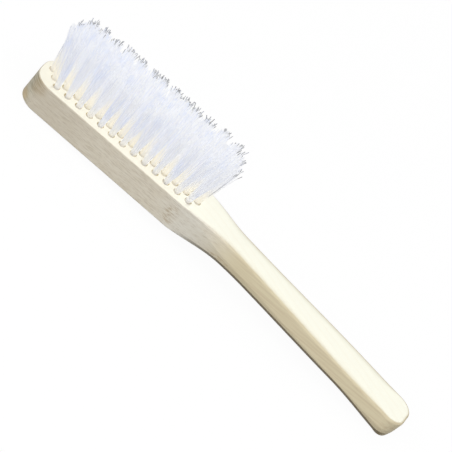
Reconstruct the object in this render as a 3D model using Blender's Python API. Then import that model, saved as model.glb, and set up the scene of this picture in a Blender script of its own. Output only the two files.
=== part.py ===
"""Spotting brush: a beech block and handle in one piece, with staggered rows of nylon tufts set in drilled holes.

X runs from the head towards the handle, Z points the way the bristles do, and the origin is on the flat back of the
head, half way along it. Each tuft is one object: its packed root fills a hole and splits into strands above the wood.
"""

import math
import random

import bmesh
import bpy
from mathutils import Matrix, Vector

MM = 0.001

# The wooden body from above.
OVERALL_LENGTH = 230.5 * MM
HEAD_LENGTH = 90.0 * MM  # tip to the start of the shoulder
HEAD_WIDTH = 23.5 * MM
TIP_CORNER_RADIUS = 9.7 * MM
SHOULDER_LENGTH = 30.0 * MM
NECK_WIDTH = 19.4 * MM
GRIP_WIDTH = 23.4 * MM  # the widest part of the handle, near its end
GRIP_WIDEST_SHARE = 0.73  # of the way from the neck to the end
END_CORNER_RADIUS = 8.5 * MM

# The body from the side.
HEAD_THICKNESS = 15.2 * MM
WAIST_THICKNESS = 10.5 * MM  # the thinnest part of the handle
WAIST_SHARE = 0.66  # of the way from the neck to the end
END_THICKNESS = 12.2 * MM
HANDLE_DROP_DEG = 7.1
TOP_BEND_SHARE = 0.37  # where the top turns down, as a share of the shoulder
TOP_BEND_REACH = 7.0 * MM  # half the length over which it turns
BACK_BEND_SHARE = 1.1  # where the back turns down
BACK_BEND_REACH = 12.0 * MM

# The edges: the head's are only eased, the handle's are rounded over for the hand.
HEAD_EDGE_RADIUS = 0.6 * MM
HANDLE_EDGE_RADIUS = 3.6 * MM
EDGE_LIMIT_SHARE = 0.45  # of the wall or corner that an edge is rounded on

# The drilled field: rows along X, each half a pitch from its neighbours.
TIP_MARGIN = 5.0 * MM  # tip of the block to the first hole's axis
SHOULDER_OVERLAP = 3.4 * MM  # the last hole's axis lies this far past the start of the shoulder
SIDE_MARGIN = 5.65 * MM  # side of the block to the outer rows
ROW_START_SHARES = (1.0, 0.5, 0.0, 0.5)  # of the pitch
ROW_COUNTS = (13, 14, 14, 13)
HOLE_DIAMETER = 3.3 * MM
HOLE_DEPTH = 10.0 * MM
DRILL_POINT_DEG = 118.0
DRILL_OVERRUN = 1.5 * MM

# The tufts.
ROOT_CLEARANCE = 0.2 * MM
ROOT_END_CLEARANCE = 0.4 * MM
ROOT_PROUD = 0.35 * MM  # the packed root stands this far out of the wood
CORE_SHARE = 0.43  # of the root's half width taken by its middle strand
STRAND_GAP = 0.1 * MM
BRISTLE_TRIM = 30.5 * MM  # wood to the trimmed tips
TIP_DROP = 2.2 * MM  # the outer strands of a tuft end this much lower
TIP_RAGGED = 1.0 * MM
STRAND_SPREAD_SHARE = 2.6  # spacing of the strands at the tips over that at the root
STRAND_SWELL_SHARE = 1.25
END_LEAN_DEG = 9.5  # outward lean of the tufts at both ends of the field
SIDE_LEAN_DEG = 8.5  # outward lean of the outer rows

CORNER_STEPS = 9
EDGE_STEPS = 4
SHOULDER_STEPS = 8
GRIP_STEPS = 11
HOLE_SIDES = 12
ROOT_SIDES = 8

NECK = HEAD_LENGTH + SHOULDER_LENGTH
TIP_RADIUS = min(TIP_CORNER_RADIUS, HEAD_WIDTH / 2)
END_RADIUS = min(END_CORNER_RADIUS, GRIP_WIDTH / 2)
DROP = math.tan(math.radians(HANDLE_DROP_DEG))


def make_material(name, colour, roughness):
    """A Principled material of one colour."""
    material = bpy.data.materials.new(name)
    material.use_nodes = True
    shader = material.node_tree.nodes["Principled BSDF"]
    shader.inputs["Base Color"].default_value = (*colour, 1.0)
    shader.inputs["Roughness"].default_value = roughness
    shader.inputs["Metallic"].default_value = 0.0
    return material


def add_object(name, shape, collection, material=None):
    """Turns a finished bmesh, drawn from the tip, into an object about the part's origin."""
    bmesh.ops.recalc_face_normals(shape, faces=shape.faces)
    shape.transform(Matrix.Translation((-HEAD_LENGTH / 2, 0.0, 0.0)))
    mesh = bpy.data.meshes.new(name)
    shape.to_mesh(mesh)
    shape.free()
    if material:
        mesh.materials.append(material)
    obj = bpy.data.objects.new(name, mesh)
    collection.objects.link(obj)
    return obj


def ease(share):
    """Smooth step from 0 to 1."""
    share = min(1.0, max(0.0, share))
    return share * share * (3.0 - 2.0 * share)


def fall(past, reach, slope):
    """How far a level line has dropped, past the middle of the bend that turns it down."""
    if past <= -reach:
        return 0.0
    if past >= reach:
        return slope * past
    return slope * (past + reach) ** 2 / (4.0 * reach)


def half_width(x):
    """Half the body's width, before the corners of its ends are rounded."""
    if x <= HEAD_LENGTH:
        return HEAD_WIDTH / 2
    if x <= NECK:
        left = (NECK - x) / SHOULDER_LENGTH
        return (NECK_WIDTH + (HEAD_WIDTH - NECK_WIDTH) * left * left) / 2
    along = (x - NECK) / (OVERALL_LENGTH - NECK)
    return (NECK_WIDTH + (GRIP_WIDTH - NECK_WIDTH) * ease(along / GRIP_WIDEST_SHARE)) / 2


def top_height(x):
    """The top, level along the head and then straight down the handle."""
    past = x - (HEAD_LENGTH + TOP_BEND_SHARE * SHOULDER_LENGTH)
    return HEAD_THICKNESS - fall(past, TOP_BEND_REACH, DROP)


def back_height(x):
    """The back, which turns down later and less, so that the handle thins to its waist, and swells at the end."""
    bend = HEAD_LENGTH + BACK_BEND_SHARE * SHOULDER_LENGTH
    waist = NECK + WAIST_SHARE * (OVERALL_LENGTH - NECK)
    slope = (WAIST_THICKNESS - top_height(waist)) / (waist - bend)
    swell = END_THICKNESS - top_height(OVERALL_LENGTH) - slope * (OVERALL_LENGTH - bend)
    return -fall(x - bend, BACK_BEND_REACH, slope) - swell * ease((x - waist) / (OVERALL_LENGTH - waist))


def half_outline():
    """One side of the plan, from the flat of the tip to the flat of the handle's end."""
    points = []
    for step in range(CORNER_STEPS):
        turn = math.pi / 2 * step / CORNER_STEPS
        across = HEAD_WIDTH / 2 - TIP_RADIUS * (1.0 - math.sin(turn))
        points.append(Vector((TIP_RADIUS * (1.0 - math.cos(turn)), across)))
    points.append(Vector((TIP_RADIUS, HEAD_WIDTH / 2)))
    for step in range(SHOULDER_STEPS):
        x = HEAD_LENGTH + SHOULDER_LENGTH * step / SHOULDER_STEPS
        points.append(Vector((x, half_width(x))))
    end = OVERALL_LENGTH - END_RADIUS
    for step in range(GRIP_STEPS):
        x = NECK + (end - NECK) * step / GRIP_STEPS
        points.append(Vector((x, half_width(x))))
    for step in range(CORNER_STEPS + 1):
        turn = math.pi / 2 * step / CORNER_STEPS
        x = end + END_RADIUS * math.sin(turn)
        points.append(Vector((x, half_width(x) - END_RADIUS * (1.0 - math.cos(turn)))))
    return points


def half_section(at, inward):
    """Half of one section of the loft: over the top's rounded edge, down the side and round the back's edge."""
    top, back = top_height(at.x), back_height(at.x)
    grown = ease((at.x - HEAD_LENGTH) / SHOULDER_LENGTH)
    radius = HEAD_EDGE_RADIUS + (HANDLE_EDGE_RADIUS - HEAD_EDGE_RADIUS) * grown
    radius = min(radius, EDGE_LIMIT_SHARE * (top - back), EDGE_LIMIT_SHARE * 2.0 * END_RADIUS)
    corners = []
    for step in range(EDGE_STEPS + 1):
        turn = math.pi / 2 * step / EDGE_STEPS
        corners.append((radius * (1.0 - math.cos(turn)), radius * (1.0 - math.sin(turn))))
    heights = [(inset, top - down) for inset, down in reversed(corners)]
    heights += [(inset, back + up) for inset, up in corners]
    half = []
    for inset, z in heights:
        point = at + inward * inset
        half.append(Vector((point.x + (z - (top + back) / 2) * DROP * grown, point.y, z)))
    return half


def body_shape():
    """The body as a loft of mirrored sections, each square to the run of the wood there."""
    shape = bmesh.new()
    outline = half_outline()
    far, near = [], []
    for index, at in enumerate(outline):
        inward = Vector((1.0, 0.0)) if index == 0 else Vector((-1.0, 0.0))
        if 0 < index < len(outline) - 1:
            along = outline[index + 1] - outline[index - 1]
            inward = Vector((along.y, -along.x)).normalized()
        half = half_section(at, inward)
        far.append([shape.verts.new(p) for p in half])
        near.append([shape.verts.new((p.x, -p.y, p.z)) for p in half])
    rings = range(len(outline) - 1)
    levels = range(len(far[0]) - 1)
    for i in rings:
        for k in levels:
            shape.faces.new((far[i][k], far[i + 1][k], far[i + 1][k + 1], far[i][k + 1]))
            shape.faces.new((near[i][k], near[i][k + 1], near[i + 1][k + 1], near[i + 1][k]))
        for k in (0, -1):
            shape.faces.new((far[i][k], near[i][k], near[i + 1][k], far[i + 1][k]))
    for k in levels:
        for i in (0, -1):
            shape.faces.new((far[i][k], far[i][k + 1], near[i][k + 1], near[i][k]))
    for face in shape.faces:
        face.smooth = True
    flat = math.radians(0.05)
    bmesh.ops.dissolve_limit(shape, angle_limit=flat, verts=shape.verts, edges=shape.edges)
    return shape


def tuft_places():
    """Row, number, mouth of the hole and direction of every tuft. The field fans out to its ends and sides."""
    field = HEAD_LENGTH + SHOULDER_OVERLAP - TIP_MARGIN
    steps = max(start + count - 1 for start, count in zip(ROW_START_SHARES, ROW_COUNTS))
    places = []
    for row, (start, count) in enumerate(zip(ROW_START_SHARES, ROW_COUNTS)):
        across = 2.0 * row / (len(ROW_COUNTS) - 1) - 1.0
        for number in range(count):
            along = 2.0 * (start + number) / steps - 1.0
            mouth = Vector((TIP_MARGIN + field * (1.0 + along) / 2, across * (HEAD_WIDTH / 2 - SIDE_MARGIN), 0.0))
            mouth.z = top_height(mouth.x)
            lean_x = math.radians(END_LEAN_DEG) * along * abs(along)
            lean_y = math.radians(SIDE_LEAN_DEG) * across
            way = Vector((math.tan(lean_x), math.tan(lean_y), 1.0)).normalized()
            places.append((row + 1, number + 1, mouth, way))
    return places


def round_bar(shape, sides, radius, start, way, length):
    """A closed bar from start along way. Returns its two ends, first the one at start."""
    turn = way.to_track_quat("Z", "Y").to_matrix().to_4x4()
    turn.translation = start + way * (length / 2)
    made = bmesh.ops.create_cone(
        shape, cap_ends=True, segments=sides, radius1=radius, radius2=radius, depth=length, matrix=turn
    )
    ends = {face for vert in made["verts"] for face in vert.link_faces if len(face.verts) == sides}
    return sorted(ends, key=lambda face: face.calc_center_median().dot(way))


def drill_shape():
    """Every drill in its place, with a cone at its point."""
    shape = bmesh.new()
    radius = HOLE_DIAMETER / 2
    for _, _, mouth, way in tuft_places():
        start = mouth - way * HOLE_DEPTH
        point = round_bar(shape, HOLE_SIDES, radius, start, way, HOLE_DEPTH + DRILL_OVERRUN)[0]
        centre = bmesh.ops.poke(shape, faces=[point])["verts"]
        lower = radius / math.tan(math.radians(DRILL_POINT_DEG / 2))
        bmesh.ops.translate(shape, verts=centre, vec=-way * lower)
    return shape


def tuft_shape(mouth, way, dice):
    """A packed root whose end splits into nine strands that open towards their trimmed tips."""
    shape = bmesh.new()
    radius = HOLE_DIAMETER / 2 - ROOT_CLEARANCE
    start = mouth - way * (HOLE_DEPTH - ROOT_END_CLEARANCE)
    root = mouth + way * ROOT_PROUD
    top = round_bar(shape, ROOT_SIDES, radius, start, way, (root - start).length)[1]
    ring_width = radius * math.cos(math.pi / ROOT_SIDES) * (1.0 - CORE_SHARE)
    ring = bmesh.ops.inset_region(shape, faces=[top], thickness=ring_width, use_even_offset=True)["faces"]
    bmesh.ops.collapse(shape, edges=[loop.edge for loop in top.loops][::2])
    cells = [top] + [face for face in ring if face.is_valid]
    bmesh.ops.inset_individual(shape, faces=cells, thickness=STRAND_GAP / 2, use_even_offset=True)
    strands = bmesh.ops.extrude_discrete_faces(shape, faces=cells)["faces"]
    for strand in strands:
        middle = strand.calc_center_median()
        out = middle - root
        height = BRISTLE_TRIM - TIP_DROP * out.length / radius - TIP_RAGGED * dice.random()
        tip = mouth + way * (height / way.z) + Vector((out.x, out.y, 0.0)) * STRAND_SPREAD_SHARE
        for vert in strand.verts:
            off = (vert.co - middle) * STRAND_SWELL_SHARE
            vert.co = Vector((tip.x + off.x, tip.y + off.y, tip.z))
    return shape


def build():
    for obj in list(bpy.data.objects):
        bpy.data.objects.remove(obj, do_unlink=True)
    brush = bpy.data.collections.new("spotting_brush")
    cutters = bpy.data.collections.new("cutters")
    for collection in (brush, cutters):
        bpy.context.scene.collection.children.link(collection)
    wood = make_material("beech", (0.80, 0.70, 0.54), 0.55)
    nylon = make_material("nylon_filament", (0.90, 0.92, 0.97), 0.35)

    body = add_object("beech_body", body_shape(), brush, wood)
    drills = add_object("tuft_drills", drill_shape(), cutters)
    drills.hide_render = True
    drills.display_type = "WIRE"
    holes = body.modifiers.new("tuft_holes", "BOOLEAN")
    holes.operation = "DIFFERENCE"
    holes.solver = "EXACT"
    holes.object = drills

    dice = random.Random(54)
    for row, number, mouth, way in tuft_places():
        add_object(f"tuft_r{row}_{number:02d}", tuft_shape(mouth, way, dice), brush, nylon)


build()
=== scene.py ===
import math

import bmesh
import bpy
import numpy as np
from mathutils import Matrix, Vector


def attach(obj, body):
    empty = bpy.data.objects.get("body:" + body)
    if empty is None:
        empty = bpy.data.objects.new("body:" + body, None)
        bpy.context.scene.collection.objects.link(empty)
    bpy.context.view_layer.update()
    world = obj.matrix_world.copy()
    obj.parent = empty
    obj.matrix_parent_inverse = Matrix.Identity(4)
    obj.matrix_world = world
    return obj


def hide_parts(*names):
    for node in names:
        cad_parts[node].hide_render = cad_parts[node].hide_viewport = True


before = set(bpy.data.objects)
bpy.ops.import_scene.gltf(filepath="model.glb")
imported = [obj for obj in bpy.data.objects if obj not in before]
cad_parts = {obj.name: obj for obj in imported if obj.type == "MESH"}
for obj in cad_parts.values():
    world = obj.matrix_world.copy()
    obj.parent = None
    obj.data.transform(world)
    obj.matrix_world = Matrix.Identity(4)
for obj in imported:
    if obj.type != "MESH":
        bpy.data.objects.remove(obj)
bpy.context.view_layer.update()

# Block and handle: one piece of pale, unvarnished beech. The blank is sawn to its side profile, shaped
# from above on a spindle, and sanded. The head keeps nearly square edges, and the handle drops away for
# the hand, with wide bevels and a softly crowned top.
MM = 0.001
OVERALL_LENGTH = 230.5 * MM
HEAD_LENGTH = 90.0 * MM  # from the tip to the start of the shoulder
HEAD_WIDTH = 23.5 * MM
HEAD_THICKNESS = 15.2 * MM
TIP_CORNER = 9.7 * MM
SHOULDER_LENGTH = 30.0 * MM
NECK = HEAD_LENGTH + SHOULDER_LENGTH  # from the tip to the handle's narrowest place
NECK_WIDTH = 19.4 * MM
GRIP_WIDTH = 23.4 * MM
GRIP_WIDEST_SHARE = 0.73  # of the way from the neck to the end
WAIST_THICKNESS = 10.5 * MM
WAIST_SHARE = 0.66  # of the way from the neck to the end
END_THICKNESS = 12.2 * MM
END_CORNER = 8.5 * MM
END_CORNER_POWER = 1.75  # 2 makes the corner an arc and 1 a straight cut
END_UNDERCUT = 0.10  # how far the end leans in below its top, for each unit of height

# Side profile: the top and the back turn down in long soft bends.
HANDLE_DROP = math.tan(math.radians(7.1))
TOP_BEND_SHARE = 0.37  # of the shoulder
TOP_BEND_REACH = 7.0 * MM
BACK_BEND_SHARE = 1.1  # of the shoulder
BACK_BEND_REACH = 12.0 * MM

# Edges: an inset is how far a bevel reaches in from the side, and a bevel how far it reaches down the side,
# or up it from the back. A softening is how far the round between a bevel and its neighbour reaches.
HEAD_EDGE = 0.5 * MM  # how far each round on the head reaches
HEAD_BEVEL = 2.0 * MM
TOP_INSET = 1.9 * MM
TOP_BEVEL = 6.3 * MM
BACK_INSET = 3.55 * MM
BACK_BEVEL = 3.7 * MM
END_INSET = 0.4 * MM
TOP_CROWN = 5.5 * MM  # how far in from the bevel the handle's top is rounded
END_CROWN = 1.8 * MM
CROWN_RUN_OUT = 14.0 * MM  # the length over which the crown narrows, before the corner of the end
TOP_SOFTENING = 1.2 * MM
SIDE_SOFTENING = 0.25 * MM
BACK_SOFTENING = 0.7 * MM
FLAT_ROW = 0.25 * MM  # from a round to the row of points that keeps the face beside it flat

CORNER_STEPS = 22
SHOULDER_STEPS = 24
GRIP_STEPS = 40
CROWN_STEPS = 7
EDGE_STEPS = 3

# The wood is drawn from its tip. The frame's origin is half way along the head, on its flat back.
TIP_TO_ORIGIN = Matrix.Translation((-HEAD_LENGTH / 2, 0.0, 0.0))


def ease(share):
    """A share of the way, from 0 to 1, with a soft start and end."""
    share = min(1.0, max(0.0, share))
    return share * share * (3.0 - 2.0 * share)


def between(low, high, share):
    return low + (high - low) * share


def fall(past, reach, slope):
    """How far a level line has dropped, past the middle of the bend that turns it down."""
    if past <= -reach:
        return 0.0
    if past >= reach:
        return slope * past
    return slope * (past + reach) ** 2 / (4.0 * reach)


def half_width(x):
    if x <= HEAD_LENGTH:
        return HEAD_WIDTH / 2
    if x <= NECK:
        left = (NECK - x) / SHOULDER_LENGTH
        return between(NECK_WIDTH, HEAD_WIDTH, left * left) / 2
    along = (x - NECK) / (OVERALL_LENGTH - NECK)
    return between(NECK_WIDTH, GRIP_WIDTH, ease(along / GRIP_WIDEST_SHARE)) / 2


def top_height(x):
    bend = HEAD_LENGTH + TOP_BEND_SHARE * SHOULDER_LENGTH
    return HEAD_THICKNESS - fall(x - bend, TOP_BEND_REACH, HANDLE_DROP)


def back_height(x):
    """The back drops less than the top as far as the waist, and then swells towards the handle's end."""
    bend = HEAD_LENGTH + BACK_BEND_SHARE * SHOULDER_LENGTH
    waist = between(NECK, OVERALL_LENGTH, WAIST_SHARE)
    slope = (WAIST_THICKNESS - top_height(waist)) / (waist - bend)
    swell = END_THICKNESS - top_height(OVERALL_LENGTH) - slope * (OVERALL_LENGTH - bend)
    return -fall(x - bend, BACK_BEND_REACH, slope) - swell * ease((x - waist) / (OVERALL_LENGTH - waist))


def half_outline():
    """One side of the plan, from the flat of the tip to the flat of the handle's end."""
    points = []
    for turn in np.linspace(0.0, math.pi / 2, CORNER_STEPS):
        across = HEAD_WIDTH / 2 - TIP_CORNER * (1.0 - math.sin(turn))
        points.append(Vector((TIP_CORNER * (1.0 - math.cos(turn)), across)))
    for x in np.linspace(HEAD_LENGTH, NECK, SHOULDER_STEPS, endpoint=False):
        points.append(Vector((x, half_width(x))))
    end = OVERALL_LENGTH - END_CORNER
    for x in np.linspace(NECK, end, GRIP_STEPS, endpoint=False):
        points.append(Vector((x, half_width(x))))
    power = 2.0 / END_CORNER_POWER
    for turn in np.linspace(0.0, math.pi / 2, CORNER_STEPS):
        x = end + END_CORNER * math.sin(turn) ** power
        cut = END_CORNER * (1.0 - max(0.0, math.cos(turn)) ** power)
        points.append(Vector((x, half_width(x) - cut)))
    return points


def softened(corner, before, after, reaches, rows, steps):
    """The points of a bend that leaves the lines to before and after at the given reaches from the corner,
    and a point on each line where rows asks for one, so that the shading of the flats stays flat."""
    back_along = (before - corner).normalized()
    on_along = (after - corner).normalized()
    first = corner + back_along * reaches[0]
    last = corner + on_along * reaches[1]
    shares = np.linspace(0.0, 1.0, steps + 1)
    points = [first.lerp(corner, share).lerp(corner.lerp(last, share), share) for share in shares]
    if rows[0]:
        points.insert(0, first + back_along * FLAT_ROW)
    if rows[1]:
        points.append(last + on_along * FLAT_ROW)
    return points


def half_section(at, inward):
    """Half of one section of the wood: over the top's edge, down the side and under the back's edge. The
    bevels and the crown grow along the shoulder, and get narrow towards the handle's end."""
    top = top_height(at.x)
    back = back_height(at.x)
    grown = ease((at.x - HEAD_LENGTH) / SHOULDER_LENGTH)
    end_corner_start = OVERALL_LENGTH - END_CORNER
    ending = ease((at.x - end_corner_start) / END_CORNER)
    top_inset = between(TOP_INSET, END_INSET, ending) * grown**2
    back_inset = between(BACK_INSET, END_INSET, ending) * grown
    run_out = ease((at.x - end_corner_start) / CROWN_RUN_OUT + 1.0)
    crown, top_bend, side_bend, back_bend = (
        between(HEAD_EDGE, reach, grown)
        for reach in (between(TOP_CROWN, END_CROWN, run_out), TOP_SOFTENING, SIDE_SOFTENING, BACK_SOFTENING)
    )

    middle_top = Vector((HEAD_WIDTH / 2, top))
    top_corner = Vector((top_inset, top))
    high_side = Vector((0.0, top - between(HEAD_BEVEL, TOP_BEVEL, grown)))
    low_side = Vector((0.0, back + between(HEAD_BEVEL, BACK_BEVEL, grown)))
    back_corner = Vector((back_inset, back))
    middle_back = Vector((HEAD_WIDTH / 2, back))
    upper = softened(top_corner, middle_top, high_side, (crown, top_bend), (True, True), CROWN_STEPS)
    upper += softened(high_side, top_corner, low_side, (side_bend, side_bend), (True, False), EDGE_STEPS)
    lower = softened(low_side, high_side, back_corner, (side_bend, side_bend), (False, True), EDGE_STEPS)
    lower += softened(back_corner, low_side, middle_back, (back_bend, back_bend), (True, True), EDGE_STEPS)

    # Each section leans square to the handle, so its height is read again where the point has come to lie.
    points = []
    for half, height in ((upper, top_height), (lower, back_height)):
        for inset, z in half:
            point = at + inward * inset
            lean = (z - (top + back) / 2) * HANDLE_DROP * grown - (top - z) * END_UNDERCUT * ending
            x = point.x + lean
            points.append(Vector((x, point.y, z + height(x) - height(at.x))))
    return points


def finished(name, shape, material=None):
    """A bmesh drawn from the tip becomes an object in the part's frame."""
    bmesh.ops.recalc_face_normals(shape, faces=shape.faces)
    shape.transform(TIP_TO_ORIGIN)
    mesh = bpy.data.meshes.new(name)
    shape.to_mesh(mesh)
    shape.free()
    piece = bpy.data.objects.new(name, mesh)
    bpy.context.scene.collection.objects.link(piece)
    if material:
        mesh.materials.append(material)
    return piece


wood = bmesh.new()
outline = half_outline()
far = []
near = []
for i, at in enumerate(outline):
    inward = Vector((1.0, 0.0)) if i == 0 else Vector((-1.0, 0.0))
    if 0 < i < len(outline) - 1:
        along = outline[i + 1] - outline[i - 1]
        inward = Vector((along.y, -along.x)).normalized()
    half = half_section(at, inward)
    far.append([wood.verts.new(p) for p in half])
    near.append([wood.verts.new((p.x, -p.y, p.z)) for p in half])
levels = range(len(far[0]) - 1)
for i in range(len(outline) - 1):
    for k in levels:
        wood.faces.new((far[i][k], far[i + 1][k], far[i + 1][k + 1], far[i][k + 1]))
        wood.faces.new((near[i][k], near[i][k + 1], near[i + 1][k + 1], near[i + 1][k]))
    for k in (0, -1):
        wood.faces.new((far[i][k], near[i][k], near[i + 1][k], far[i + 1][k]))
for k in levels:
    for i in (0, -1):
        wood.faces.new((far[i][k], far[i][k + 1], near[i][k + 1], near[i][k]))
for face in wood.faces:
    face.smooth = True

# Finish of the beech, which is left bare: cream on the planed top, greyer on the sawn flanks and tanner
# where the handle is sanded, and the flanks and sides are painted darker than the top partly as painted
# shade. Fine fibres run along it, with short rays. It is browner at the tip, where the saw has cut across
# the grain.
RING_SPACING = 2.6 * MM
RING_WAVER = 6.6  # radians, how far a growth ring wanders, from one side of its circle to the other
WAVE_TEXTURE_TURN = 20.0  # radians for each unit of length, at a scale of 1
FROM_PITH = (0.0, 60.0 * MM, -95.0 * MM)  # from the tree's pith to the frame's origin
PITH_LEAN = (0.0, 0.03, 0.02)
PLANED = (0.895, 0.868, 0.742, 1.0)
PLANED_LATE = (0.86, 0.80, 0.64, 1.0)
PLANED_PALE = (0.925, 0.92, 0.802, 1.0)
# The flank and sanded colours are darker than the planed ones partly as painted shade, the low edge's is
# painted shade, and the bore's is painted shade with warm bounced light.
SAWN_AND_SHADED = (0.735, 0.675, 0.555, 1.0)
SAWN_LIGHT = (0.79, 0.76, 0.675, 1.0)
SANDED_AND_SHADED = (0.62, 0.55, 0.38, 1.0)
SANDED_LATE = (0.53, 0.445, 0.30, 1.0)
LOW_EDGE_SHADE = (0.215, 0.16, 0.075, 1.0)
FLECK = (0.40, 0.335, 0.25, 1.0)
TORN = (0.38, 0.27, 0.14, 1.0)
BORE_WARM_SHADE = (0.54, 0.435, 0.19, 1.0)
END_GRAIN = (0.62, 0.575, 0.455, 1.0)
END_PORE = (0.31, 0.275, 0.185, 1.0)
TIP_TAN = (0.62, 0.48, 0.28, 1.0)
TIP_BROWN = (0.42, 0.325, 0.19, 1.0)


class Finish:
    """A material and the nodes that make it. A node's input is named as Blender names it, or n0, n1 and so
    on by its place. Of the point being coloured, place is where it is, spot holds the X, Y and Z of that,
    and facing the X, Y and Z of the way that its surface faces."""

    def __init__(self, name):
        self.material = bpy.data.materials.new(name)
        self.material.use_nodes = True
        self.tree = self.material.node_tree
        self.shader = self.tree.nodes["Principled BSDF"]
        self.place = self.add("ShaderNodeTexCoord").outputs["Object"]
        self.spot = self.add("ShaderNodeSeparateXYZ", Vector=self.place).outputs
        normal = self.add("ShaderNodeNewGeometry").outputs["Normal"]
        self.facing = self.add("ShaderNodeSeparateXYZ", Vector=normal).outputs

    def add(self, kind, settings=(), **inputs):
        node = self.tree.nodes.new(kind)
        for name, value in dict(settings).items():
            setattr(node, name, value)
        for name, value in inputs.items():
            self.give(node, name.replace("_", " "), value)
        return node

    def give(self, node, socket, value):
        """Links a socket to the node's input, or writes a value on it."""
        key = int(socket[1:]) if socket[0] == "n" and socket[1:].isdigit() else socket
        if isinstance(value, bpy.types.NodeSocket):
            self.tree.links.new(value, node.inputs[key])
        else:
            node.inputs[key].default_value = value

    def math(self, operation, a, b=0.0, c=0.0):
        return self.add("ShaderNodeMath", {"operation": operation}, n0=a, n1=b, n2=c).outputs[0]

    def times(self, a, b):
        return self.math("MULTIPLY", a, b)

    def stored(self, name):
        """A number that is stored on the points of the mesh."""
        return self.add("ShaderNodeAttribute", {"attribute_name": name}).outputs["Fac"]

    def noise(self, size, detail=3.0, roughness=0.55, turn=(0.0, 0.0, 0.0)):
        """Noise whose grains are as long as size says along X, Y and Z."""
        scale = tuple(1.0 / length for length in size)
        placed = self.add("ShaderNodeMapping", Vector=self.place, Scale=scale, Rotation=turn).outputs[0]
        made = self.add("ShaderNodeTexNoise", Vector=placed, Scale=1.0, Detail=detail, Roughness=roughness)
        return made.outputs["Fac"]

    def span(self, value, start, full, least=0.0, most=1.0):
        """least where value is at start, most where it is at full, and soft between them."""
        node = self.add("ShaderNodeMapRange", {"interpolation_type": "SMOOTHSTEP"}, Value=value)
        for name, number in (("From Min", start), ("From Max", full), ("To Min", least), ("To Max", most)):
            node.inputs[name].default_value = number
        return node.outputs[0]

    def mix(self, share, base, other):
        return self.add("ShaderNodeMix", {"data_type": "RGBA"}, n0=share, n6=base, n7=other).outputs[2]

    def tint(self, base, other, by, start, full, strength):
        """base, turning to other as by goes from start to full, and no further than strength."""
        return self.mix(self.span(by, start, full, least=0.0, most=strength), base, other)

    def patch(self, centre, reach, strength=1.0):
        """strength as far as 0.35 of reach from centre, along X, Y and Z, and falling to 0 at reach."""
        scale = tuple(1.0 / r for r in reach)
        shift = tuple(-c / r for c, r in zip(centre, reach))
        placed = self.add("ShaderNodeMapping", Vector=self.place, Scale=scale, Location=shift).outputs[0]
        away = self.add("ShaderNodeVectorMath", {"operation": "LENGTH"}, n0=placed).outputs["Value"]
        return self.span(away, 1.0, 0.35, least=0.0, most=strength)


beech = Finish("raw_beech")
fibre = beech.noise((9.0 * MM, 0.35 * MM, 0.35 * MM))
cloud = beech.noise((70.0 * MM, 14.0 * MM, 14.0 * MM), detail=2.0)
from_pith = beech.add("ShaderNodeMapping", Vector=beech.place, Location=FROM_PITH, Rotation=PITH_LEAN)
rings = beech.add(
    "ShaderNodeTexWave",
    {"wave_type": "RINGS", "rings_direction": "X", "wave_profile": "SAW"},
    Vector=from_pith.outputs[0],
    Scale=2.0 * math.pi / (WAVE_TEXTURE_TURN * RING_SPACING),
    Phase_Offset=beech.math("MULTIPLY_ADD", cloud, RING_WAVER, -RING_WAVER / 2),
)

# The planed face is nearly plain, and paler from the shoulder on.
shoulder = beech.span(beech.spot["X"], 0.36 * HEAD_LENGTH, 0.54 * HEAD_LENGTH)
planed = beech.mix(shoulder, PLANED, PLANED_PALE)
planed = beech.tint(planed, PLANED_LATE, by=rings.outputs["Fac"], start=0.55, full=1.0, strength=0.16)
planed = beech.tint(planed, PLANED_LATE, by=fibre, start=0.35, full=0.80, strength=0.22)

# The sawn flanks have short slanted flecks, are paler where the spindle has cut the shoulder, and darken a
# little towards the tip. Their colour is darker than the top's partly for the sawn grain and partly as
# painted shade.
slant = beech.noise((3.4 * MM, 0.6 * MM, 0.34 * MM), roughness=0.6, turn=(0.0, -0.17, 0.0))
coarse = beech.noise((11.0 * MM, 2.0 * MM, 1.5 * MM), detail=2.0, turn=(0.0, -0.10, 0.0))
sawn_and_shaded = beech.mix(beech.times(shoulder, 0.76), SAWN_AND_SHADED, SAWN_LIGHT)
sawn_and_shaded = beech.tint(sawn_and_shaded, FLECK, by=slant, start=0.47, full=0.70, strength=0.40)
sawn_and_shaded = beech.tint(sawn_and_shaded, SAWN_LIGHT, by=slant, start=0.50, full=0.30, strength=0.45)
sawn_and_shaded = beech.tint(sawn_and_shaded, SANDED_LATE, by=coarse, start=0.42, full=0.66, strength=0.13)
sawn_and_shaded = beech.tint(sawn_and_shaded, FLECK, by=beech.spot["X"], start=5.0 * MM, full=-25.0 * MM, strength=0.20)

# The sanded handle has long soft streaks of tan, and its sides are darker than the top partly as painted
# shade. The bevel along its underside is painted dark, as painted shade.
streak = beech.noise((34.0 * MM, 1.1 * MM, 0.9 * MM))
sanded_and_shaded = beech.tint(SANDED_AND_SHADED, SANDED_LATE, by=streak, start=0.40, full=0.68, strength=0.75)
sanded_and_shaded = beech.tint(sanded_and_shaded, SANDED_LATE, by=fibre, start=0.40, full=0.80, strength=0.35)
handle = beech.span(beech.spot["X"], 0.58 * HEAD_LENGTH, 0.92 * HEAD_LENGTH)
flank = beech.mix(handle, sawn_and_shaded, sanded_and_shaded)
# Painted shade: the bevel under the handle, which faces down, is darkened.
low_bevel_shade = beech.times(
    beech.span(beech.facing["Z"], -0.15, -0.55),
    beech.span(beech.facing["Z"], -0.98, -0.90),
)
flank = beech.mix(beech.times(low_bevel_shade, handle), flank, LOW_EDGE_SHADE)

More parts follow.
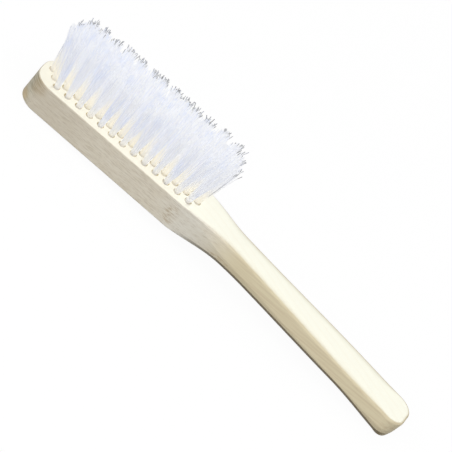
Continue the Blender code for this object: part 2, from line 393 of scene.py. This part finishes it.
# The planed colour shows where the wood faces straight up, or square to the slope of the handle, and the
# darker flank colours below it are partly painted shade. The fibres make its border ragged.
handle_slope = math.atan(HANDLE_DROP)
square_to_slope = beech.math(
    "MULTIPLY_ADD",
    beech.facing["Z"],
    math.cos(handle_slope),
    beech.times(beech.facing["X"], math.sin(handle_slope)),
)
tilt = beech.math("ARCCOSINE", beech.math("MAXIMUM", beech.facing["Z"], square_to_slope))
top_vs_shaded_side = beech.span(beech.math("MULTIPLY_ADD", fibre, -0.2, tilt), 0.34, -0.10)
beech_colour = beech.mix(top_vs_shaded_side, flank, planed)

# End grain at the tip: grey and brown stripes run level round the nose, with a tan patch and a brown one.
stripe = beech.noise((6.0 * MM, 9.0 * MM, 0.55 * MM), detail=2.0, turn=(0.10, 0.24, 0.0))
end_grain = beech.tint(END_GRAIN, END_PORE, by=stripe, start=0.46, full=0.56, strength=0.75)
nose = beech.facing["X"]
beech_colour = beech.tint(beech_colour, end_grain, by=nose, start=-0.22, full=-0.80, strength=0.86)
TAN_CENTRE = (-44.0 * MM, -8.4 * MM, 2.2 * MM)
TAN_REACH = (5.0 * MM, 5.5 * MM, 4.0 * MM)
beech_colour = beech.mix(beech.patch(TAN_CENTRE, TAN_REACH, strength=0.62), beech_colour, TIP_TAN)
BROWN_CENTRE = (-40.0 * MM, -10.5 * MM, 12.5 * MM)
BROWN_REACH = (7.0 * MM, 5.0 * MM, 6.5 * MM)
brown_patch = beech.patch(BROWN_CENTRE, BROWN_REACH)
brown_patch = beech.times(brown_patch, beech.math("SUBTRACT", 1.0, top_vs_shaded_side))
brown_patch = beech.times(brown_patch, beech.span(stripe, 0.36, 0.56, least=0.25, most=0.60))
beech_colour = beech.mix(brown_patch, beech_colour, TIP_BROWN)

# The walls of the drilled holes are painted browner and warmer: painted shade, with the warm light that the
# wood bounces about inside them. The limits keep that colour off the outside of the wood.
hole_wall_shade = beech.span(beech.facing["Z"], 0.90, 0.70)
for value, outside, inside in (
    (beech.math("ABSOLUTE", beech.spot["Y"]), 8.6 * MM, 8.2 * MM),
    (beech.spot["X"], -42.3 * MM, -42.0 * MM),
    (beech.spot["X"], 54.0 * MM, 51.0 * MM),
    (beech.spot["Z"], 4.0 * MM, 5.0 * MM),
):
    hole_wall_shade = beech.times(hole_wall_shade, beech.span(value, outside, inside))
beech_colour = beech.mix(hole_wall_shade, beech_colour, BORE_WARM_SHADE)

# The grain is torn where the shoulder starts, and in one short streak on the handle.
tear = beech.noise((3.2 * MM, 1.2 * MM, 0.42 * MM), detail=1.5, turn=(0.0, -0.62, 0.0))
torn = beech.span(tear, 0.48, 0.62)
for centre, reach, strength in (
    ((43.0 * MM, -11.8 * MM, 6.5 * MM), (4.6 * MM, 3.0 * MM, 8.5 * MM), 0.65),
    ((73.0 * MM, -9.7 * MM, 4.6 * MM), (9.0 * MM, 3.0 * MM, 1.6 * MM), 0.55),
):
    beech_colour = beech.mix(beech.times(beech.patch(centre, reach, strength), torn), beech_colour, TORN)

beech.give(beech.shader, "Base Color", beech_colour)
beech.give(beech.shader, "Roughness", beech.span(fibre, 0.30, 0.80, least=0.54, most=0.68))
beech.give(beech.shader, "Specular IOR Level", 0.30)
relief = beech.math("MULTIPLY_ADD", fibre, 0.6, beech.times(slant, -0.5))
bump = beech.add("ShaderNodeBump", Height=relief, Strength=0.35, Distance=0.05 * MM)
beech.give(beech.shader, "Normal", bump.outputs[0])

# Holes: 54 of them, blind, drilled from the bristle side in four rows, each half a pitch from the next.
# They fan out towards the ends and sides of the head, and the drill leaves a slightly broken rim.
TIP_MARGIN = 5.0 * MM
SHOULDER_OVERLAP = 3.4 * MM  # how far the last holes stand past the start of the shoulder
SIDE_MARGIN = 5.65 * MM
ROW_STARTS = (1.0, 0.5, 0.0, 0.5)  # in pitches
ROW_COUNTS = (13, 14, 14, 13)
END_LEAN = math.radians(9.5)
SIDE_LEAN = math.radians(8.5)
HOLE_RADIUS = 1.65 * MM
HOLE_DEPTH = 10.0 * MM
DRILL_POINT = 1.0 * MM
DRILL_POINT_RADIUS = 0.2 * MM
RIM_RADIUS = 1.85 * MM
RIM_DEPTH = 0.18 * MM
RIM_OVERRUN = 4.0  # times the rim's depth, over the wood
HOLE_SIDES = 28
SHARP_TURN = math.radians(32.0)  # an edge that turns by more than this is shaded sharp


def tuft_places():
    """Name, mouth of the hole and direction of every tuft."""
    field = HEAD_LENGTH + SHOULDER_OVERLAP - TIP_MARGIN
    steps = max(start + count - 1 for start, count in zip(ROW_STARTS, ROW_COUNTS))
    for row, (start, count) in enumerate(zip(ROW_STARTS, ROW_COUNTS)):
        across = 2.0 * row / (len(ROW_COUNTS) - 1) - 1.0
        for number in range(count):
            along = 2.0 * (start + number) / steps - 1.0
            x = TIP_MARGIN + field * (1.0 + along) / 2
            mouth = Vector((x, across * (HEAD_WIDTH / 2 - SIDE_MARGIN), top_height(x)))
            lean_x = math.tan(END_LEAN * along * abs(along))
            lean_y = math.tan(SIDE_LEAN * across)
            yield f"tuft_r{row + 1}_{number + 1:02d}", mouth, Vector((lean_x, lean_y, 1.0)).normalized()


def turned_bar(shape, radii, heights, mouth, way):
    """A closed turning about way, through circles of these radii at these heights over the mouth."""
    turn = way.to_track_quat("Z", "Y").to_matrix()
    circles = []
    for radius, height in zip(radii, heights):
        circle = []
        for step in range(HOLE_SIDES):
            angle = 2.0 * math.pi * step / HOLE_SIDES
            spoke = Vector((radius * math.cos(angle), radius * math.sin(angle), height))
            circle.append(shape.verts.new(mouth + turn @ spoke))
        circles.append(circle)
    for low, high in zip(circles, circles[1:]):
        for a in range(HOLE_SIDES):
            b = (a + 1) % HOLE_SIDES
            shape.faces.new((low[a], low[b], high[b], high[a]))
    shape.faces.new(circles[-1])
    shape.faces.new(reversed(circles[0]))


drills = bmesh.new()
flare_radius = RIM_RADIUS + (RIM_RADIUS - HOLE_RADIUS) * RIM_OVERRUN
for _, mouth, way in tuft_places():
    turned_bar(
        drills,
        (DRILL_POINT_RADIUS, HOLE_RADIUS, HOLE_RADIUS, flare_radius),
        (-HOLE_DEPTH - DRILL_POINT, -HOLE_DEPTH, -RIM_DEPTH, RIM_DEPTH * RIM_OVERRUN),
        mouth,
        way,
    )
drill_bits = finished("drill_bits", drills)
block = finished("beech_block", wood, beech.material)
cut = block.modifiers.new("tuft_holes", "BOOLEAN")
cut.operation = "DIFFERENCE"
cut.solver = "EXACT"
cut.object = drill_bits
drilled = bpy.data.meshes.new_from_object(block.evaluated_get(bpy.context.evaluated_depsgraph_get()))
block.modifiers.clear()
block.data = drilled
drilled.set_sharp_from_angle(angle=SHARP_TURN)
bpy.data.objects.remove(drill_bits, do_unlink=True)
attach(block, "root")
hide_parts("beech_body")

# Tufts: stiff white nylon filaments, folded over a wire anchor at the bottom of the hole, so that each hole
# holds a packed bundle whose ends splay as they rise. The ends are cropped on the finished brush and stay a
# little uneven.
FILAMENTS = 66
FILAMENT_RADIUS = 0.15 * MM
FILAMENT_SIDES = 5
FILAMENT_POINTS = 7
POINT_SPACING_POWER = 0.8
ROOT_DEPTH = 3.0 * MM  # how deep in the hole the drawn filaments start
BUNDLE_RADIUS = 1.37 * MM  # in the hole
SPLAY_RADIUS = 3.1 * MM  # at the tips
SPLAY_SPREAD = 0.55 * MM
SPLAY_POWER = 1.12
BOW = 0.35 * MM
FIELD_HALF_WIDTH = 13.6 * MM  # where the filaments that splay too far are pressed back in
TRIM = 30.5 * MM  # from the wood to the tallest tips
DOME_DROP = 1.5 * MM  # how much lower the rim of a tuft is cropped than its middle
DOME_ACROSS_SHARE = 0.3  # of that drop, on the sides of a tuft
CROP_UNEVENNESS = 0.33 * MM
CROP_SHAPE = 1.6  # of the gamma distribution that the unevenness follows
GOLDEN_TURN = math.pi * (3.0 - math.sqrt(5.0))  # from filament to filament, which spreads them evenly
SEED = 54

# Each tuft wanders a little from its hole's direction, and a few at the ends of the field stand out of
# line, by the degrees along and across that are given here.
TUFT_WANDER = math.radians(1.2)
STRAY_POWER = 1.15
STRAYS = {
    "tuft_r2_01": (-4.6, 0.0),
    "tuft_r3_01": (6.0, -1.0),
    "tuft_r4_01": (4.5, -4.0),
    "tuft_r4_02": (1.0, -2.5),
    "tuft_r4_03": (0.0, -1.5),
    "tuft_r2_14": (-2.0, 0.0),
    "tuft_r3_14": (2.5, 0.0),
    "tuft_r4_13": (2.0, -1.0),
}

# The loose ends round the far side and both ends of the field are a little thicker and curl, and most are
# painted dark towards their tips, as painted shade for the dark edges that clear filaments show.
DARK_END_SHARE = 0.85
DARK_END_REACH = 0.28  # of the bundle's radius, how far out the loose filaments start
DARK_END_LEAST = 0.5
DARK_END_FROM = 0.87  # of a filament's height
DARK_END_FADE = 0.07
DARK_END_SWELL = 0.6
CURL = 1.4 * MM
TIP_POWER = 9
NEAR_ROW_WEIGHT = 0.4  # how much the field's two ends count in the near rows, against 1 in the far row

# At the two ends a few filaments are painted dark all along, as painted shade: towards +X or -X, and how
# dark.
DARK_ALL_ALONG = {
    "tuft_r2_14": (1.0, 0.60),
    "tuft_r3_14": (1.0, 0.45),
    "tuft_r3_01": (-1.0, 0.20),
    "tuft_r2_01": (-1.0, 0.12),
}
DARK_ALL_ALONG_REACH = 0.86  # of the bundle's radius, how far out they start
DARK_ALL_ALONG_FROM = 0.2  # of a filament's height

INNER_BOUNCE_RISE = 0.28  # of a filament's height, how much higher the foot's cream reaches in the two inner rows
# The foot's cream below is painted light, bounced up from the wood.
NYLON_FOOT_BOUNCE = (0.995, 0.955, 0.84, 1.0)
NYLON = (0.965, 0.975, 1.0, 1.0)
NYLON_TIPWARDS = (0.80, 0.85, 1.0, 1.0)
NYLON_STREAK = (0.79, 0.825, 0.96, 1.0)
NYLON_CLOUD = (0.79, 0.845, 1.0, 1.0)
# The dark below is painted shade along the edges of clear filaments.
NYLON_PAINTED_DARK = (0.29, 0.295, 0.305, 1.0)
NYLON_SHADE = (0.992, 0.992, 0.994, 1.0)  # what one wall of a filament lets through of a lamp's light

nylon = Finish("white_nylon")
up_filament = nylon.stored("along")
tone = nylon.stored("tone")
risen = nylon.math("MULTIPLY_ADD", nylon.stored("inner"), -INNER_BOUNCE_RISE, up_filament)
risen = nylon.span(risen, -0.20, 0.40)
# Painted light: the foot is cream for the light that the wood bounces into the tufts, higher in the inner
# rows.
nylon_colour = nylon.mix(risen, NYLON_FOOT_BOUNCE, NYLON)
tipwards = nylon.span(nylon.spot["X"], 5.0 * MM, -40.0 * MM, most=0.12)
nylon_colour = nylon.mix(nylon.times(tipwards, risen), nylon_colour, NYLON_TIPWARDS)
streaked = nylon.times(nylon.span(tone, 0.35, 1.0, most=0.6), nylon.math("MULTIPLY_ADD", risen, 0.5, 0.5))
nylon_colour = nylon.mix(streaked, nylon_colour, NYLON_STREAK)
cloudy = nylon.noise((5.0 * MM, 5.0 * MM, 17.0 * MM), detail=2.0)
clouded = nylon.times(nylon.span(cloudy, 0.50, 0.68, most=0.6), risen)
nylon_colour = nylon.mix(clouded, nylon_colour, NYLON_CLOUD)

# The painted shade of a dark end is full on its near side, and clears towards its far side.
past_dark_start = nylon.math("SUBTRACT", up_filament, nylon.stored("painted_dark_from"))
darkened_ends = nylon.times(nylon.span(past_dark_start, 0.0, DARK_END_FADE), nylon.stored("painted_dark_end"))
darkened_ends = nylon.times(darkened_ends, nylon.span(nylon.facing["Y"], 0.30, -0.10, least=0.12))
nylon_colour = nylon.mix(darkened_ends, nylon_colour, NYLON_PAINTED_DARK)
nylon.give(nylon.shader, "Base Color", nylon_colour)
nylon.give(nylon.shader, "Roughness", nylon.span(tone, 0.0, 1.0, least=0.28, most=0.46))
nylon.give(nylon.shader, "IOR", 1.53)

# Nylon is nearly clear, so most of the light that meets a filament goes on to those behind it and the wood.
THROUGH_SHARE = 0.48  # of the light that a filament scatters, what comes out behind it
PASSING_SHARE = 0.96  # of the light that comes from other surfaces, what goes straight on
MOST_WALLS_PASSED = 64
through = nylon.add("ShaderNodeBsdfTranslucent", Color=nylon_colour).outputs[0]
seen = nylon.add("ShaderNodeMixShader", n0=THROUGH_SHARE, n1=nylon.shader.outputs[0], n2=through).outputs[0]
clear = nylon.add("ShaderNodeBsdfTransparent").outputs[0]
passing = nylon.add("ShaderNodeMixShader", n0=PASSING_SHARE, n1=seen, n2=clear).outputs[0]
shading = nylon.add("ShaderNodeBsdfTransparent", Color=NYLON_SHADE).outputs[0]
met_by = nylon.add("ShaderNodeLightPath").outputs
by_bounce = nylon.add("ShaderNodeMixShader", n0=met_by["Is Diffuse Ray"], n1=seen, n2=passing).outputs[0]
by_lamp = nylon.add("ShaderNodeMixShader", n0=met_by["Is Shadow Ray"], n1=by_bounce, n2=shading).outputs[0]
nylon.give(nylon.tree.nodes["Material Output"], "Surface", by_lamp)
bpy.context.scene.cycles.transparent_max_bounces = MOST_WALLS_PASSED


def tuft_mesh(name, mouth, way, stray, outward, dice):
    """The filaments of one tuft as fine tubes, with their heights and their painted shade stored on the
    points.
    """
    order = np.arange(FILAMENTS) + 0.5
    reach = np.sqrt(order / FILAMENTS)
    angle = order * GOLDEN_TURN + dice.uniform(0.0, math.tau)
    out = np.stack([np.cos(angle), np.sin(angle), np.zeros(FILAMENTS)], axis=1)

    # Splay at the tips, a bow along the middle, and the height to which each filament is cropped.
    splay = SPLAY_RADIUS * reach + dice.normal(0.0, 1.0, FILAMENTS) * SPLAY_SPREAD
    bow = dice.normal(0.0, 1.0, (FILAMENTS, 3)) * BOW
    dome = (out[:, 0] ** 2 + DOME_ACROSS_SHARE * out[:, 1] ** 2) * reach**2
    tip = TRIM - DOME_DROP * dome - dice.gamma(CROP_SHAPE, CROP_UNEVENNESS, FILAMENTS)

    # The ends painted dark as shade, and the few filaments that are painted dark all along.
    loose = out[:, :2] @ outward * reach > DARK_END_REACH
    painted_dark = loose * (dice.random(FILAMENTS) < DARK_END_SHARE) * dice.uniform(DARK_END_LEAST, 1.0, FILAMENTS)
    side, strength = DARK_ALL_ALONG.get(name, (0.0, 0.0))
    all_along = out[:, 0] * reach * side > DARK_ALL_ALONG_REACH
    painted_dark = np.where(all_along, strength, painted_dark)
    curl = dice.normal(0.0, CURL, (FILAMENTS, 2)) * ((painted_dark > 0) & ~all_along)[:, None]

    # The middle line of each filament, in arrays with a row for each filament and a column for each point.
    rise = np.linspace(0.0, 1.0, FILAMENT_POINTS) ** POINT_SPACING_POWER
    height = -ROOT_DEPTH + rise[None, :] * (tip[:, None] + ROOT_DEPTH)
    over = np.clip(height, 0.0, None) / TRIM
    packed = BUNDLE_RADIUS * reach[:, None]
    radial = packed + (splay[:, None] - packed) * over**SPLAY_POWER
    bowed = 4.0 * over * (1.0 - over)
    line = np.array(mouth)[None, None, :] + np.array(way / way.z)[None, None, :] * height[:, :, None]
    line = line + out[:, None, :] * radial[:, :, None] + bow[:, None, :] * bowed[:, :, None]
    line[:, :, :2] += TRIM * np.tan(stray)[None, None, :] * over[:, :, None] ** STRAY_POWER
    line[:, :, :2] += curl[:, None, :] * over[:, :, None] ** TIP_POWER
    too_far = np.clip(np.abs(line[:, :, 1]) - FIELD_HALF_WIDTH, 0.0, None)
    line[:, :, 1] -= np.sign(line[:, :, 1]) * too_far * over
    line[:, :, 2] = mouth.z + height

    # A closed tube round each line.
    turns = np.arange(FILAMENT_SIDES) * math.tau / FILAMENT_SIDES
    ring = np.stack([np.cos(turns), np.sin(turns), np.zeros(FILAMENT_SIDES)], axis=1) * FILAMENT_RADIUS
    swell = 1.0 + DARK_END_SWELL * (painted_dark > 0)[:, None] * np.where(all_along[:, None], 1.0, over**TIP_POWER)
    points = (line[:, :, None, :] + ring[None, None, :, :] * swell[:, :, None, None]).reshape(-1, 3)
    index = np.arange(len(points)).reshape(FILAMENTS, FILAMENT_POINTS, FILAMENT_SIDES)
    beside = np.roll(index, -1, axis=2)
    walls = np.stack([index[:, :-1], beside[:, :-1], beside[:, 1:], index[:, 1:]], axis=-1).reshape(-1, 4)
    ends = index[:, -1].tolist() + index[:, 0, ::-1].tolist()
    mesh = bpy.data.meshes.new(f"nylon_{name}")
    mesh.from_pydata(points, [], walls.tolist() + ends)
    mesh.polygons.foreach_set("use_smooth", [True] * len(walls) + [False] * len(ends))

    for label, values in (
        ("along", over * TRIM / tip[:, None]),
        ("painted_dark_end", painted_dark[:, None]),
        ("painted_dark_from", np.where(all_along, DARK_ALL_ALONG_FROM, DARK_END_FROM)[:, None]),
        ("inner", 1.0 if abs(way.y) < math.sin(SIDE_LEAN) / 2 else 0.0),
        ("tone", dice.random(FILAMENTS)[:, None]),
    ):
        stored = mesh.attributes.new(label, "FLOAT", "POINT")
        by_point = np.broadcast_to(values, (FILAMENTS, FILAMENT_POINTS))
        stored.data.foreach_set("value", np.repeat(by_point, FILAMENT_SIDES))
    mesh.transform(TIP_TO_ORIGIN)
    mesh.materials.append(nylon.material)
    return mesh


dice = np.random.default_rng(SEED)
for name, mouth, way in tuft_places():
    wander = dice.normal(0.0, TUFT_WANDER, 2)
    stray = np.radians(STRAYS[name]) if name in STRAYS else wander
    farther = max(0.0, way.y) / SIDE_LEAN
    endwards = way.x * abs(way.x) / END_LEAN**2 * between(NEAR_ROW_WEIGHT, 1.0, farther)
    outward = np.array((endwards, farther**2))
    tuft = bpy.data.objects.new(f"nylon_{name}", tuft_mesh(name, mouth, way, stray, outward, dice))
    bpy.context.scene.collection.objects.link(tuft)
    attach(tuft, "root")
    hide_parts(name)

# Floor: a plain sheet of white paper. The brush lies on its back, on the head's tip and the handle's end,
# so in the part's frame the paper slopes by the small angle between them, from a line just past the tip.
FLOOR_SIZE = 6.0
FLOOR_GAP = 0.15 * MM
LINE_PAST_TIP = 2.0 * MM
PAPER = (0.95, 0.95, 0.95, 1.0)
PAPER_TO_BOUNCES = (0.08, 0.08, 0.08, 1.0)  # what it throws back on the brush
PAPER_SHADE = 0.05  # the share of the white that the brush's shadow can darken


def direct_rays(tree):
    """1 for the rays that show the white: from the camera, a mirror or glass."""
    kind = tree.nodes.new("ShaderNodeLightPath").outputs
    any_of = kind["Is Camera Ray"]
    for other in ("Is Glossy Ray", "Is Transmission Ray"):
        larger = tree.nodes.new("ShaderNodeMath")
        larger.operation = "MAXIMUM"
        tree.links.new(any_of, larger.inputs[0])
        tree.links.new(kind[other], larger.inputs[1])
        any_of = larger.outputs[0]
    return any_of


block_points = np.array([v.co for v in block.data.vertices])
tip_x = block_points[:, 0].min()
line_x = tip_x - LINE_PAST_TIP
lie = math.atan((block_points[:, 2] / (block_points[:, 0] - line_x)).min())
floor_mesh = bpy.data.meshes.new("floor")
half_floor = FLOOR_SIZE / 2
floor_corners = [(x * half_floor, y * half_floor, 0) for x, y in ((-1, -1), (1, -1), (1, 1), (-1, 1))]
floor_mesh.from_pydata(floor_corners, [], [(0, 1, 2, 3)])
floor = bpy.data.objects.new("floor", floor_mesh)
floor.matrix_world = Matrix.Translation((line_x, 0.0, -FLOOR_GAP)) @ Matrix.Rotation(-lie, 4, "Y")
bpy.context.scene.collection.objects.link(floor)

paper = bpy.data.materials.new("white_paper")
paper.use_nodes = True
tree = paper.node_tree
tree.nodes.clear()
lit = tree.nodes.new("ShaderNodeBsdfDiffuse")
lit.inputs["Color"].default_value = PAPER
dim = tree.nodes.new("ShaderNodeBsdfDiffuse")
dim.inputs["Color"].default_value = PAPER_TO_BOUNCES
white = tree.nodes.new("ShaderNodeEmission")
shown = tree.nodes.new("ShaderNodeMixShader")
shown.inputs[0].default_value = 1.0 - PAPER_SHADE
tree.links.new(lit.outputs[0], shown.inputs[1])
tree.links.new(white.outputs[0], shown.inputs[2])
chosen = tree.nodes.new("ShaderNodeMixShader")
tree.links.new(direct_rays(tree), chosen.inputs[0])
tree.links.new(dim.outputs[0], chosen.inputs[1])
tree.links.new(shown.outputs[0], chosen.inputs[2])
paper_out = tree.nodes.new("ShaderNodeOutputMaterial")
tree.links.new(chosen.outputs[0], paper_out.inputs["Surface"])
floor_mesh.materials.append(paper)

# Studio: an even pale room and four large soft boxes. The strongest is over the near side, one is over each
# end of the brush, and a weak one is over the far side.
SKY_STRENGTH = 0.40
studio = bpy.data.worlds.new("studio")
bpy.context.scene.world = studio
studio.use_nodes = True
tree = studio.node_tree
sky = tree.nodes["Background"]
sky.inputs["Color"].default_value = (1.0, 1.0, 1.0, 1.0)
sky.inputs["Strength"].default_value = SKY_STRENGTH
behind = tree.nodes.new("ShaderNodeBackground")
behind.inputs["Strength"].default_value = 1.0
pick = tree.nodes.new("ShaderNodeMixShader")
tree.links.new(direct_rays(tree), pick.inputs[0])
tree.links.new(sky.outputs[0], pick.inputs[1])
tree.links.new(behind.outputs[0], pick.inputs[2])
tree.links.new(pick.outputs[0], tree.nodes["World Output"].inputs["Surface"])

for name, place, size, watts in (
    ("near_box", Vector((0.0, -1.2, 0.85)), (1.6, 0.8), 14.4),
    ("tip_box", Vector((-1.3, -0.3, 0.75)), (0.8, 0.8), 6.0),
    ("end_box", Vector((1.3, -0.3, 0.75)), (0.8, 0.8), 6.0),
    ("far_box", Vector((0.0, 1.1, 0.95)), (1.4, 0.8), 4.6),
):
    box_data = bpy.data.lights.new(name, "AREA")
    box_data.shape = "RECTANGLE"
    box_data.size, box_data.size_y = size
    box_data.energy = watts
    box = bpy.data.objects.new(name, box_data)
    box.location = place
    box.rotation_euler = (-place).to_track_quat("-Z", "Y").to_euler()
    bpy.context.scene.collection.objects.link(box)

# Camera: a long lens from the near side, 35 degrees above the brush, and rolled by 41 degrees, so that the
# handle runs down to the right.
CAMERA_DISTANCE = 2.5
CAMERA_ELEVATION = 0.6109  # radians
CAMERA_ROLL = 0.7161  # radians
PIXELS_PER_METRE = 2196.0
PHOTO_SIDE = 452.0
SENSOR_WIDTH = 36.0
AIM = Vector((70.0 * MM, 0.0, 5.2 * MM))
AIM_PIXEL = (222.45, 244.48)  # where that point of the brush shows
along_brush = Vector((1.0, 0.0, 0.0))
up_view = Vector((0.0, math.sin(CAMERA_ELEVATION), math.cos(CAMERA_ELEVATION)))
back = Vector((0.0, -math.cos(CAMERA_ELEVATION), math.sin(CAMERA_ELEVATION)))
right = along_brush * math.cos(CAMERA_ROLL) + up_view * math.sin(CAMERA_ROLL)
up = up_view * math.cos(CAMERA_ROLL) - along_brush * math.sin(CAMERA_ROLL)
centre = AIM + right * ((PHOTO_SIDE / 2 - AIM_PIXEL[0]) / PIXELS_PER_METRE)
centre += up * ((AIM_PIXEL[1] - PHOTO_SIDE / 2) / PIXELS_PER_METRE)
camera_data = bpy.data.cameras.new("camera")
camera_data.sensor_width = SENSOR_WIDTH
camera_data.lens = SENSOR_WIDTH * CAMERA_DISTANCE * PIXELS_PER_METRE / PHOTO_SIDE
camera = bpy.data.objects.new("camera", camera_data)
axes = Matrix((right, up, back)).transposed().to_4x4()
camera.matrix_world = Matrix.Translation(centre + back * CAMERA_DISTANCE) @ axes
bpy.context.scene.collection.objects.link(camera)
bpy.context.scene.camera = camera
bpy.context.scene.view_settings.view_transform = "Standard"
